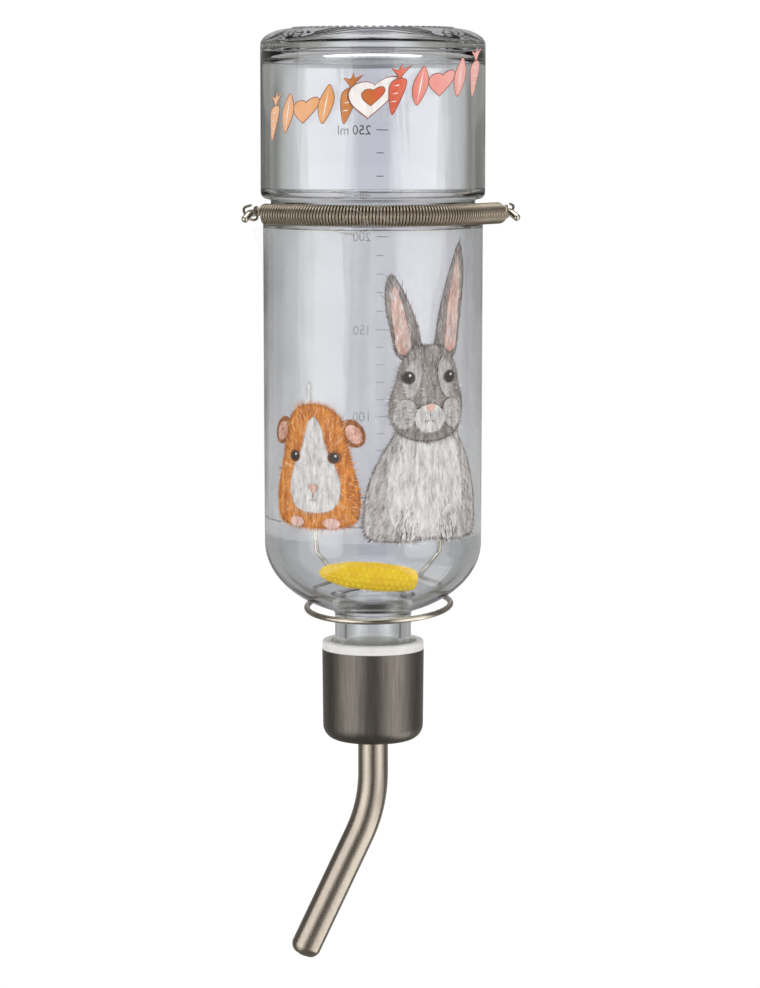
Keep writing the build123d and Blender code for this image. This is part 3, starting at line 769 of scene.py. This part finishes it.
def make_cavy():
    """A plain orange and white guinea pig seen from the front."""
    art = Print("guinea_pig_print", -31.5, 127.5, film_radius(110) + FILM_THICKNESS)
    down, outward = downwards(0.08), away_from(14)
    for side in (-1, 1):
        fold = one_way(side, -0.6)
        edge = art.oval(side * 10.6, 24.6, 3.9, 3.0, CAVY_BROWN, -52 * side)
        art.fringe(edge, CAVY_BROWN, 0.5, fold, 0.9, 0.16, 40 + side)
        edge = art.oval(side * 10.9, 24.4, 2.7, 1.9, PINK_SKIN, -52 * side)
        art.fur(edge, [CAVY_BROWN, CAVY_ORANGE, PINK_SKIN], 60, fold, 1.2, 0.15, 41 + side)
    body = [(0, 31.8), (4.4, 31), (7.6, 28), (8.9, 23), (10.6, 16.5), (12.6, 8), (10.8, 1.4), (0, 0)]
    edge = art.shape(both_sides(body), CAVY_ORANGE)
    art.fur(edge, [CAVY_BROWN, CAVY_ORANGE, CAVY_ORANGE, CAVY_PALE, CAVY_PALE], 1200, outward, 1.9, 0.16, 43)
    art.fringe(edge, CAVY_BROWN, 0.4, outward, 1.3, 0.17, 44)
    art.fringe(edge, CAVY_ORANGE, 0.4, outward, 1.5, 0.19, 45)
    blaze = [(0, 28.4), (2.0, 26), (3.4, 21), (6.4, 15), (7.4, 9.6), (5.4, 5.2), (0, 4.0)]
    edge = art.shape(both_sides(blaze), PALE_FUR)
    art.fringe(edge, PALE_FUR, 0.4, outward, 1.3, 0.16, 47)
    art.fur(edge, [PALE_FUR, PALE_FUR, PALE_FUR, FUR_SHADE], 330, outward, 1.4, 0.13, 46)
    for side in (-1, 1):
        art.oval(side * 5.9, 18.4, 1.8, 1.6, CAVY_BROWN, 20 * side)
        art.oval(side * 5.9, 18.3, 1.35, 1.3, EYE_INK)
        art.oval(side * 5.9 + 0.4, 18.8, 0.32, 0.32, PALE_FUR)
        edge = art.oval(side * 5.2, 1.5, 2.4, 1.3, PINK_SKIN)
        art.fur(edge, [PINK_SKIN, PALE_FUR], 30, down, 0.9, 0.14, 48 + side)
        for k in range(3):
            art.line(side * 2.4, 9.4 - 0.5 * k, (side, 0.2 - 0.2 * k), 6.5, 0.1, PALE_FUR)
    art.shape([(0, 9.2), (1.4, 10.7), (0, 11.3), (-1.4, 10.7)], PINK_SKIN, steps=4, step=0.5)
    art.line(0, 9.3, (0, -1), 1.8, 0.26, CAVY_BROWN)
    for side in (-1, 1):
        art.line(0, 7.5, (side, -0.5), 1.5, 0.2, CAVY_BROWN)
    return art.finish()


def make_ground_line():
    """The thin drawn line that the two animals sit on."""
    art = Print("ground_line_print", 0, 127.2, film_radius(127) + FILM_THICKNESS)
    art.layer = 1
    rng = random.Random(61)
    x, end = -40.0, -4.0
    while x < end:
        length = rng.uniform(3, 6)
        y = 0.5 + rng.uniform(-0.25, 0.25)
        art.put(stroke(Vector((x, y)), Vector((1, rng.uniform(-0.03, 0.03))).normalized(), length, 0.22),
                [(0, 1, 2, 3)], RABBIT_DARK)
        x += length * 0.7
    return art.finish()


def grown(points, by):
    """A closed flat outline moved outwards by a distance."""
    middle = sum((Vector(p) for p in points), Vector((0, 0))) / len(points)
    out = []
    for i, p in enumerate(points):
        way = Vector(points[(i + 1) % len(points)]) - Vector(points[i - 1])
        normal = Vector((way.y, -way.x)).normalized()
        if normal.dot(Vector(p) - middle) < 0:
            normal.negate()
        out.append(Vector(p) + normal * by)
    return out


HEART = [
    (0.575 * math.sin(a) ** 3, 0.42 * math.cos(a) - 0.16 * math.cos(2 * a) - 0.06 * math.cos(3 * a))
    for a in (2 * math.pi * k / 16 for k in range(16))
]
CARROT = [
    (0, -0.5), (0.1, -0.25), (0.17, 0.05), (0.15, 0.2), (0, 0.26), (-0.15, 0.2), (-0.17, 0.05),
    (-0.1, -0.25),
]
TOPS = [
    (0, 0.24), (0.07, 0.36), (0.2, 0.5), (0.05, 0.44), (0, 0.56), (-0.05, 0.44), (-0.2, 0.5),
    (-0.07, 0.36),
]
LEAF = [
    (0, -0.48), (0.16, -0.2), (0.2, 0.1), (0.1, 0.36), (0, 0.5), (-0.1, 0.36), (-0.2, 0.1),
    (-0.16, -0.2),
]
VEIN = [(0, -0.42), (0.022, 0.0), (0, 0.42), (-0.022, 0.0)]


def make_row():
    """A rising row of carrots, leaves and hearts round the front of the base part."""
    art = Print("rising_row_print", 0, 17.6, UPPER_R)
    slope, lean, span = 0.19, math.radians(12), 60.0
    carrot_size, leaf_size, heart_size = 12.0, 10.0, 7.0

    def placed(points, x, size):
        return [
            (x + size * (px * math.cos(lean) + py * math.sin(lean)),
             x * slope + size * (py * math.cos(lean) + px * slope)) for px, py in points
        ]

    def edged(points, x, size, steps=5):
        outline = placed(points, x, size)
        art.shape(grown(outline, 0.22), ROW_EDGE, steps=steps, step=0.8)
        art.shape(outline, ROW_INK, steps=steps, step=0.8)

    kinds = "carrot leaf heart leaf carrot big_heart carrot leaf heart leaf carrot".split()
    for i, kind in enumerate(kinds):
        x = -span / 2 + span * i / (len(kinds) - 1)
        if kind == "carrot":
            edged(TOPS, x, carrot_size, 3)
            edged(CARROT, x, carrot_size)
            for k in range(3):
                y = 0.12 - 0.17 * k
                line = [(-0.1, y), (0.0, y - 0.018), (0.04, y), (0.0, y + 0.012)]
                art.shape(placed(line, x, carrot_size), ROW_PALE, steps=0)
        elif kind == "leaf":
            edged(LEAF, x, leaf_size)
            art.shape(placed(VEIN, x, leaf_size), ROW_PALE, steps=0)
        elif kind == "heart":
            edged(HEART, x, heart_size, 2)
        else:
            art.shape(placed(HEART, x, 12.0), ROW_EDGE, steps=2, step=0.8)
            art.shape(placed(HEART, x, 11.2), ROW_PALE, steps=2, step=0.8)
            edged(HEART, x, 5.0, 2)
    return art.finish()


def flat_text(text, height):
    """The triangles of generic lettering, in millimetres, starting at the origin."""
    curve = bpy.data.curves.new("lettering", "FONT")
    curve.body = text
    curve.size = height / 0.7
    curve.resolution_u = 4
    holder = bpy.data.objects.new("lettering", curve)
    bpy.context.collection.objects.link(holder)
    mesh = bpy.data.meshes.new_from_object(holder)
    points = [Vector(v.co[:2]) for v in mesh.vertices]
    faces = [tuple(p.vertices) for p in mesh.polygons]
    bpy.data.objects.remove(holder)
    bpy.data.meshes.remove(mesh)
    bpy.data.curves.remove(curve)
    return points, faces


def make_scale():
    """The volume scale on the back of the bottle, read from behind."""
    marks = ((250, 25.9), (200, 56.2), (150, 81.0), (100, 104.1), (50, 126.7))
    below_last = (0, 149.0)
    text_height, long_start, short_start, tick_end, half_tick = 2.5, -4.4, -3.0, -0.9, 0.11
    ticks = []
    for (_, drop), (_, after) in zip(marks, (*marks[1:], below_last)):
        gap = (after - drop) / 5
        ticks += [(drop + gap * k, short_start if k else long_start) for k in range(5)]
    for name, top, bottom, radius in (
        ("base_scale_print", 0, 40, UPPER_R),
        ("film_scale_print", FILM_TOP + 1, FILM_BOTTOM - 1, film_radius(90) + FILM_THICKNESS),
    ):
        art = Print(name, 180, 0, radius)
        art.layer = 1
        for volume, drop in marks:
            if top < drop < bottom:
                label = f"{volume} ml" if volume == 250 else f"{volume}"
                points, faces = flat_text(label, text_height)
                art.put([(p.x + 0.6, p.y - drop - text_height / 2) for p in points], faces, SCALE_INK)
        for drop, start in ticks:
            if top < drop < bottom:
                high, low = half_tick - drop, -half_tick - drop
                art.put([(start, low), (tick_end, low), (tick_end, high), (start, high)],
                        [(0, 1, 2, 3)], SCALE_INK)
        art.finish()


make_rabbit()
make_cavy()
make_ground_line()
make_row()
make_scale()


# ---------------------------------------------------------------- studio

def area_light(name, place, aim, size, power):
    data = bpy.data.lights.new(name, "AREA")
    data.shape = "RECTANGLE"
    data.size, data.size_y = size
    data.energy = power
    light = bpy.data.objects.new(name, data)
    light.location = place
    light.rotation_euler = (Vector(aim) - Vector(place)).to_track_quat("-Z", "Z").to_euler()
    bpy.context.collection.objects.link(light)


def staged_mesh(name, corners, material):
    mesh = bpy.data.meshes.new(name)
    mesh.from_pydata(corners, [], [(0, 1, 2, 3)])
    mesh.materials.append(material)
    obj = bpy.data.objects.new(name, mesh)
    bpy.context.collection.objects.link(obj)
    return obj


def glow_material(name, low, high):
    """An evenly glowing surface that no lamp changes."""
    m = Nodes(name)
    m.set(Base_Color=(0, 0, 0, 1), Roughness=1.0, Specular_IOR_Level=0.0, Emission_Strength=1.0)
    m.link(m.ramp(m.noise(3, 2), [(0.3, low), (0.7, high)]), m.shader.inputs["Emission Color"])
    return m.material


def painted_glass_light_material():
    """Painted light and shade that shows through the glass and in its reflections: a pale middle and darker
    sides, each height with its own ramp.
    """
    m = Nodes("painted_glass_shade")
    m.set(Base_Color=(0, 0, 0, 1), Roughness=1.0, Specular_IOR_Level=0.0, Emission_Strength=1.0)
    half_width = 0.32
    off_middle = m.add("ShaderNodeMath", operation="ABSOLUTE")
    m.link(m.axis("X"), off_middle.inputs[0])
    reach = m.between(off_middle.outputs[0], 0, half_width)
    top = m.ramp(reach, [
        (0.0, (0.62, 0.62, 0.7)), (0.16, (0.68, 0.68, 0.71)), (0.27, (0.64, 0.64, 0.66)),
        (0.36, (0.52, 0.52, 0.52)), (0.5, (0.26, 0.26, 0.24)), (1, (0.2, 0.2, 0.185)),
    ])
    middle = m.ramp(reach, [
        (0.0, (0.39, 0.385, 0.45)), (0.16, (0.39, 0.39, 0.42)), (0.27, (0.4, 0.4, 0.42)),
        (0.36, (0.3, 0.3, 0.3)), (0.5, (0.13, 0.13, 0.12)), (1, (0.09, 0.09, 0.083)),
    ])
    lower = m.ramp(reach, [
        (0.0, (0.44, 0.44, 0.5)), (0.16, (0.46, 0.46, 0.48)), (0.27, (0.43, 0.43, 0.45)),
        (0.36, (0.44, 0.44, 0.45)), (1, (0.36, 0.36, 0.35)),
    ])
    above = m.ramp(reach, [
        (0.0, (0.24, 0.24, 0.26)), (0.12, (0.32, 0.32, 0.34)), (0.25, (0.55, 0.55, 0.56)),
        (0.4, (0.45, 0.45, 0.44)), (1, (0.3, 0.3, 0.28)),
    ])
    height = m.axis("Z")
    colour = top
    for start, end, ramp in ((0.05, 0.02, middle), (-0.04, -0.09, lower), (0.1, 0.107, above)):
        colour = m.mix(m.between(height, start, end), colour, ramp)
    m.link(colour, m.shader.inputs["Emission Color"])
    return m.material


def card(name, corners, material):
    """A card that shows only in reflections and through the glass."""
    obj = staged_mesh(name, corners, material)
    obj.visible_camera = False
    obj.visible_shadow = False
    obj.visible_diffuse = False
    return obj


def upright(start, end, low, high):
    return [(*start, low), (*end, low), (*end, high), (*start, high)]


def flat(left, right, front, back, height):
    return [(left, front, height), (right, front, height), (right, back, height), (left, back, height)]


def make_studio():
    floor_z, floor_reach = -0.42, 60.0
    side, end, wall_top = 4.5, 3.4, 4.0
    white = glow_material("white_paper", (1.01, 1.01, 1.01), (1.03, 1.03, 1.03))
    staged_mesh("floor", flat(-floor_reach, floor_reach, -floor_reach, floor_reach, floor_z), white)
    staged_mesh("backdrop", upright((-side, end), (side, end), floor_z, wall_top), white)
    for name, start, stop in (
        ("left_wall", (-side, -end), (-side, end)),
        ("right_wall", (side, -end), (side, end)),
        ("front_wall", (-side, -end), (side, -end)),
    ):
        wall = staged_mesh(name, upright(start, stop, floor_z, wall_top), white)
        wall.visible_glossy = wall.visible_transmission = False
        wall.visible_diffuse = wall.visible_shadow = False

    world = bpy.data.worlds.new("studio")
    bpy.context.scene.world = world
    world.use_nodes = True
    background = world.node_tree.nodes["Background"]
    background.inputs["Color"].default_value = (0.93, 0.94, 1.0, 1)
    background.inputs["Strength"].default_value = 0.4

    black = glow_material("black_cloth", (0.012, 0.012, 0.012), (0.02, 0.02, 0.021))
    dark = glow_material("dark_cloth", (0.2, 0.195, 0.182), (0.25, 0.243, 0.228))
    grey = glow_material("grey_cloth", (0.16, 0.16, 0.15), (0.19, 0.19, 0.178))
    bright = glow_material("bright_paper", (2.1, 2.1, 2.1), (2.3, 2.3, 2.3))
    low, high = -0.41, 1.0
    front_card = card("front_card", upright((-0.42, -1.6), (0.42, -1.6), low, high), black)
    front_card.visible_transmission = False
    card("left_card", upright((-1.3, -0.1), (-0.7, 0.52), low, high), grey)
    card("right_card", upright((1.3, -0.1), (0.7, 0.52), low, high), grey)
    # the back card carries the painted light and shade that the glass shows
    card("back_card", upright((-0.75, 0.5), (0.75, 0.5), low, high), painted_glass_light_material())
    card("under_card", flat(-0.3, 0.3, -1.5, -0.05, low), dark)
    card("under_back_card", flat(-1.1, 0.25, -0.05, 0.5, low), dark)
    card("under_right_card", flat(0.25, 1.1, 0.12, 0.5, low), dark)
    low_right_card = card("low_right_card", flat(0.25, 0.65, -0.6, 0.12, low), bright)
    low_right_card.visible_transmission = False

    middle = (0, -0.03, -0.02)
    area_light("left_softbox", (-0.95, -0.77, 0.1), middle, (1.05, 1.1), 5.2)
    area_light("right_softbox", (0.95, -0.77, 0.1), middle, (1.05, 1.1), 4.9)
    area_light("top_softbox", (0.0, -0.2, 1.3), middle, (1.2, 1.2), 11)


def make_camera():
    """A little below the level of the upturned base, looking slightly down."""
    distance, right, height, pitch = 900.0, 1.84, -20.0, 6.434
    data = bpy.data.cameras.new("camera")
    data.sensor_fit = "AUTO"
    data.sensor_width = 36.0
    data.lens = 125.7
    data.clip_start, data.clip_end = 0.05, 100.0
    camera = bpy.data.objects.new("camera", data)
    camera.location = Vector((AXIS_X + right, AXIS_Y - distance, BASE_Z + height)) * MM
    camera.rotation_euler = Euler((math.radians(90 - pitch), 0, 0))
    bpy.context.collection.objects.link(camera)
    bpy.context.scene.camera = camera


make_studio()
make_camera()
bpy.context.scene.view_settings.view_transform = "Standard"
